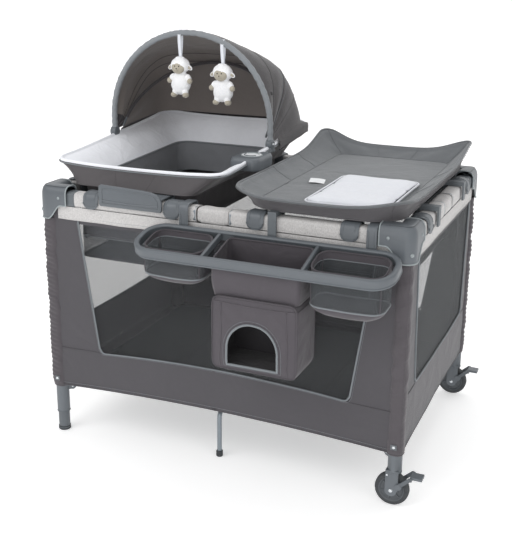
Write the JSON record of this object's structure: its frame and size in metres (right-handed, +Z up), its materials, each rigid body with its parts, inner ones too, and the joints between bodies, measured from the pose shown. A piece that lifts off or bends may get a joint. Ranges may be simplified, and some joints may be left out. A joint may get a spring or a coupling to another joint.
{
  "type": "travel play yard",
  "caption": "Folding travel play yard with mesh walls, corner brackets, wheels, bassinet insert, canopied napper with hanging toys, changing tray and clip-on organizer.",
  "frame": {"origin": "on the floor under the middle of the bounding box", "axes": "+Z up, +X along the long side towards the wheels, -Y the side with the organizer"},
  "size_m": [1.1016, 0.902, 1.1276],
  "materials": {
    "steel_tube": "satin",
    "grey_plastic": "satin moulded",
    "dark_plastic": "satin moulded",
    "wall_fabric": "woven with mesh windows",
    "heather_fabric": "heather weave over steel rail",
    "heather_latch": "satin",
    "painted_tube": "powder coat",
    "wheel_rubber": "matt",
    "toy_plush": "plush",
    "bow_sleeve": "gathered sleeve",
    "mat_fabric": "fine textured",
    "mesh_fabric": "mesh with woven band",
    "napper_fabric": "padded woven",
    "white_fabric": "soft plush",
    "canopy_fabric": "woven",
    "changer_fabric": "woven",
    "bag_fabric": "woven and mesh"
  },
  "bodies": {
    "leg_front_left": {"leg_fl": "steel_tube", "bracket_fl": "grey_plastic", "foot_fl": "grey_plastic", "wall_fl": "wall_fabric"},
    "leg_front_right": {"leg_fr": "steel_tube", "bracket_fr": "grey_plastic", "foot_fr": "grey_plastic", "wall_fr": "wall_fabric"},
    "leg_back_left": {"leg_bl": "steel_tube", "bracket_bl": "grey_plastic", "foot_bl": "grey_plastic", "wall_bl": "wall_fabric"},
    "leg_back_right": {"leg_br": "steel_tube", "bracket_br": "grey_plastic", "foot_br": "grey_plastic", "wall_br": "wall_fabric"},
    "rail_front_left": {"rail_front_left": "heather_fabric"},
    "rail_front_right": {"rail_front_right": "heather_fabric"},
    "rail_back_left": {"rail_back_left": "heather_fabric"},
    "rail_back_right": {"rail_back_right": "heather_fabric"},
    "rail_left_front": {"rail_left_front": "heather_fabric"},
    "rail_left_back": {"rail_left_back": "heather_fabric"},
    "rail_right_front": {"rail_right_front": "heather_fabric"},
    "rail_right_back": {"rail_right_back": "heather_fabric"},
    "latch_front": {"latch_front": "heather_latch"},
    "latch_back": {"latch_back": "heather_latch"},
    "latch_left": {"latch_left": "heather_latch"},
    "latch_right": {"latch_right": "heather_latch"},
    "floor_tube_fl": {"floor_tube_fl": "painted_tube"},
    "floor_tube_fr": {"floor_tube_fr": "painted_tube"},
    "floor_tube_bl": {"floor_tube_bl": "painted_tube"},
    "floor_tube_br": {"floor_tube_br": "painted_tube"},
    "hub": {"hub": "grey_plastic"},
    "centre_leg_front": {"centre_leg_front": "painted_tube"},
    "centre_leg_back": {"centre_leg_back": "painted_tube"},
    "mattress": {"mattress": "mat_fabric"},
    "insert": {"insert_tub": "mesh_fabric", "insert_clips": "dark_plastic"},
    "napper": {"napper_tub": "napper_fabric", "napper_pad": "white_fabric", "napper_frame": "grey_plastic", "electronics_box": "grey_plastic", "canopy_fabric": "canopy_fabric"},
    "canopy_bow_front": {"canopy_bow_front": "bow_sleeve"},
    "canopy_bow_mid": {"canopy_bow_mid": "bow_sleeve"},
    "toy_left": {"toy_left": "toy_plush"},
    "toy_right": {"toy_right": "toy_plush"},
    "changer": {"changer_tub": "changer_fabric", "changer_pad": "white_fabric", "changer_frame": "grey_plastic"},
    "organizer": {"organizer_frame": "grey_plastic", "organizer_bags": "bag_fabric"},
    "wheel_front": {"wheel_front": "wheel_rubber"},
    "wheel_back": {"wheel_back": "wheel_rubber"},
    "brake_front": {"brake_front": "dark_plastic"},
    "brake_back": {"brake_back": "dark_plastic"}
  },
  "joints": [
    {"name": "frame_fold", "type": "hinge", "parent": "leg_front_left", "child": "floor_tube_fl", "pos_m": [-0.48825, -0.263, 0.134], "axis": [0.5591, -0.8291, 0], "range_deg": [0, 80], "deforming": ["wall_fl", "wall_fr", "wall_bl", "wall_br", "mattress", "insert_tub"]},
    {"name": "fold_hub", "type": "hinge", "parent": "floor_tube_fl", "child": "hub", "pos_m": [-0.05525, 0.029, 0.134], "axis": [0.5591, -0.8291, 0], "range_deg": [-80, 0]},
    {"name": "fold_floor_tube_fr", "type": "hinge", "parent": "hub", "child": "floor_tube_fr", "pos_m": [0.02475, 0.029, 0.134], "axis": [0.5591, 0.8291, 0], "range_deg": [0, 80]},
    {"name": "fold_leg_front_right", "type": "hinge", "parent": "floor_tube_fr", "child": "leg_front_right", "pos_m": [0.45775, -0.263, 0.134], "axis": [0.5591, 0.8291, 0], "range_deg": [-80, 0]},
    {"name": "fold_floor_tube_bl", "type": "hinge", "parent": "hub", "child": "floor_tube_bl", "pos_m": [-0.05525, 0.109, 0.134], "axis": [-0.5591, -0.8291, 0], "range_deg": [0, 80]},
    {"name": "fold_leg_back_left", "type": "hinge", "parent": "floor_tube_bl", "child": "leg_back_left", "pos_m": [-0.48825, 0.401, 0.134], "axis": [-0.5591, -0.8291, 0], "range_deg": [-80, 0]},
    {"name": "fold_floor_tube_br", "type": "hinge", "parent": "hub", "child": "floor_tube_br", "pos_m": [0.02475, 0.109, 0.134], "axis": [-0.5591, 0.8291, 0], "range_deg": [0, 80]},
    {"name": "fold_leg_back_right", "type": "hinge", "parent": "floor_tube_br", "child": "leg_back_right", "pos_m": [0.45775, 0.401, 0.134], "axis": [-0.5591, 0.8291, 0], "range_deg": [-80, 0]},
    {"name": "fold_centre_leg_front", "type": "hinge", "parent": "hub", "child": "centre_leg_front", "pos_m": [-0.02525, 0.025, 0.134], "axis": [1, 0, 0], "range_deg": [0, 80]},
    {"name": "fold_centre_leg_back", "type": "hinge", "parent": "hub", "child": "centre_leg_back", "pos_m": [-0.00525, 0.113, 0.134], "axis": [1, 0, 0], "range_deg": [-80, 0]},
    {"name": "fold_rail_front_left", "type": "hinge", "parent": "leg_front_left", "child": "rail_front_left", "pos_m": [-0.47025, -0.283, 0.697], "axis": [0, 1, 0], "range_deg": [0, 80]},
    {"name": "fold_rail_front_right", "type": "hinge", "parent": "leg_front_right", "child": "rail_front_right", "pos_m": [0.43975, -0.283, 0.697], "axis": [0, 1, 0], "range_deg": [-80, 0]},
    {"name": "fold_rail_back_left", "type": "hinge", "parent": "leg_back_left", "child": "rail_back_left", "pos_m": [-0.47025, 0.421, 0.697], "axis": [0, 1, 0], "range_deg": [0, 80]},
    {"name": "fold_rail_back_right", "type": "hinge", "parent": "leg_back_right", "child": "rail_back_right", "pos_m": [0.43975, 0.421, 0.697], "axis": [0, 1, 0], "range_deg": [-80, 0]},
    {"name": "fold_rail_left_front", "type": "hinge", "parent": "leg_front_left", "child": "rail_left_front", "pos_m": [-0.50825, -0.245, 0.697], "axis": [1, 0, 0], "range_deg": [-80, 0]},
    {"name": "fold_rail_left_back", "type": "hinge", "parent": "leg_back_left", "child": "rail_left_back", "pos_m": [-0.50825, 0.383, 0.697], "axis": [1, 0, 0], "range_deg": [0, 80]},
    {"name": "fold_rail_right_front", "type": "hinge", "parent": "leg_front_right", "child": "rail_right_front", "pos_m": [0.47775, -0.245, 0.697], "axis": [1, 0, 0], "range_deg": [-80, 0]},
    {"name": "fold_rail_right_back", "type": "hinge", "parent": "leg_back_right", "child": "rail_right_back", "pos_m": [0.47775, 0.383, 0.697], "axis": [1, 0, 0], "range_deg": [0, 80]},
    {"name": "fold_latch_front", "type": "hinge", "parent": "rail_front_left", "child": "latch_front", "pos_m": [-0.03725, -0.283, 0.697], "axis": [0, 1, 0], "range_deg": [-80, 0]},
    {"name": "fold_latch_back", "type": "hinge", "parent": "rail_back_left", "child": "latch_back", "pos_m": [-0.03725, 0.421, 0.697], "axis": [0, 1, 0], "range_deg": [-80, 0]},
    {"name": "fold_latch_left", "type": "hinge", "parent": "rail_left_front", "child": "latch_left", "pos_m": [-0.50825, 0.047, 0.697], "axis": [1, 0, 0], "range_deg": [0, 80]},
    {"name": "fold_latch_right", "type": "hinge", "parent": "rail_right_front", "child": "latch_right", "pos_m": [0.47775, 0.047, 0.697], "axis": [1, 0, 0], "range_deg": [0, 80]},
    {"name": "lift_mattress", "type": "slide", "parent": "leg_front_left", "child": "mattress", "axis": [0, 0, 1], "range_m": [0, 0.6288]},
    {"name": "lift_insert", "type": "slide", "parent": "leg_front_left", "child": "insert", "axis": [0, 0, 1], "range_m": [0, 0.6288]},
    {"name": "lift_napper", "type": "slide", "parent": "leg_front_left", "child": "napper", "axis": [0, 0, 1], "range_m": [0, 0.6288]},
    {"name": "lift_changer", "type": "slide", "parent": "leg_front_left", "child": "changer", "axis": [0, 0, 1], "range_m": [0, 0.6288]},
    {"name": "lift_organizer", "type": "slide", "parent": "leg_front_left", "child": "organizer", "axis": [0, 0, 1], "range_m": [0, 0.6288]},
    {"name": "canopy_fold", "type": "hinge", "parent": "napper", "child": "canopy_bow_front", "pos_m": [-0.27875, 0.089, 0.815], "axis": [1, 0, 0], "range_deg": [-80, 0], "deforming": ["canopy_fabric"]},
    {"name": "canopy_fold_mid", "type": "hinge", "parent": "canopy_bow_front", "child": "canopy_bow_mid", "pos_m": [-0.27875, 0.089, 0.815], "axis": [1, 0, 0], "range_deg": [0, 40]},
    {"name": "toy_left_swing", "type": "hinge", "parent": "canopy_bow_front", "child": "toy_left", "pos_m": [-0.30525, 0.089, 1.11462], "axis": [1, 0, 0], "range_deg": [-30, 30]},
    {"name": "toy_right_swing", "type": "hinge", "parent": "canopy_bow_front", "child": "toy_right", "pos_m": [-0.17025, 0.089, 1.09177], "axis": [1, 0, 0], "range_deg": [-30, 30]},
    {"name": "wheel_front_spin", "type": "hinge", "parent": "leg_front_right", "child": "wheel_front", "pos_m": [0.47375, -0.283, 0.044], "axis": [0, 1, 0], "continuous": true},
    {"name": "brake_front_press", "type": "hinge", "parent": "leg_front_right", "child": "brake_front", "pos_m": [0.49375, -0.283, 0.06], "axis": [0, 1, 0], "range_deg": [0, 12]},
    {"name": "wheel_back_spin", "type": "hinge", "parent": "leg_back_right", "child": "wheel_back", "pos_m": [0.47375, 0.421, 0.044], "axis": [0, 1, 0], "continuous": true},
    {"name": "brake_back_press", "type": "hinge", "parent": "leg_back_right", "child": "brake_back", "pos_m": [0.49375, 0.421, 0.06], "axis": [0, 1, 0], "range_deg": [0, 12]}
  ],
  "couplings": [
    {"joint": "fold_hub", "follows": "frame_fold", "ratio": -1},
    {"joint": "fold_floor_tube_fr", "follows": "frame_fold", "ratio": 1},
    {"joint": "fold_leg_front_right", "follows": "frame_fold", "ratio": -1},
    {"joint": "fold_floor_tube_bl", "follows": "frame_fold", "ratio": 1},
    {"joint": "fold_leg_back_left", "follows": "frame_fold", "ratio": -1},
    {"joint": "fold_floor_tube_br", "follows": "frame_fold", "ratio": 1},
    {"joint": "fold_leg_back_right", "follows": "frame_fold", "ratio": -1},
    {"joint": "fold_centre_leg_front", "follows": "frame_fold", "ratio": 1},
    {"joint": "fold_centre_leg_back", "follows": "frame_fold", "ratio": -1},
    {"joint": "fold_rail_front_left", "follows": "frame_fold", "ratio": 1},
    {"joint": "fold_rail_front_right", "follows": "frame_fold", "ratio": -1},
    {"joint": "fold_rail_back_left", "follows": "frame_fold", "ratio": 1},
    {"joint": "fold_rail_back_right", "follows": "frame_fold", "ratio": -1},
    {"joint": "fold_rail_left_front", "follows": "frame_fold", "ratio": -1},
    {"joint": "fold_rail_left_back", "follows": "frame_fold", "ratio": 1},
    {"joint": "fold_rail_right_front", "follows": "frame_fold", "ratio": -1},
    {"joint": "fold_rail_right_back", "follows": "frame_fold", "ratio": 1},
    {"joint": "fold_latch_front", "follows": "frame_fold", "ratio": -1},
    {"joint": "fold_latch_back", "follows": "frame_fold", "ratio": -1},
    {"joint": "fold_latch_left", "follows": "frame_fold", "ratio": 1},
    {"joint": "fold_latch_right", "follows": "frame_fold", "ratio": 1},
    {"joint": "lift_mattress", "follows": "frame_fold", "m_per_rad": 0.45},
    {"joint": "lift_insert", "follows": "frame_fold", "m_per_rad": 0.45},
    {"joint": "lift_napper", "follows": "frame_fold", "m_per_rad": 0.45},
    {"joint": "lift_changer", "follows": "frame_fold", "m_per_rad": 0.45},
    {"joint": "lift_organizer", "follows": "frame_fold", "m_per_rad": 0.45},
    {"joint": "canopy_fold_mid", "follows": "canopy_fold", "ratio": -0.5}
  ]
}
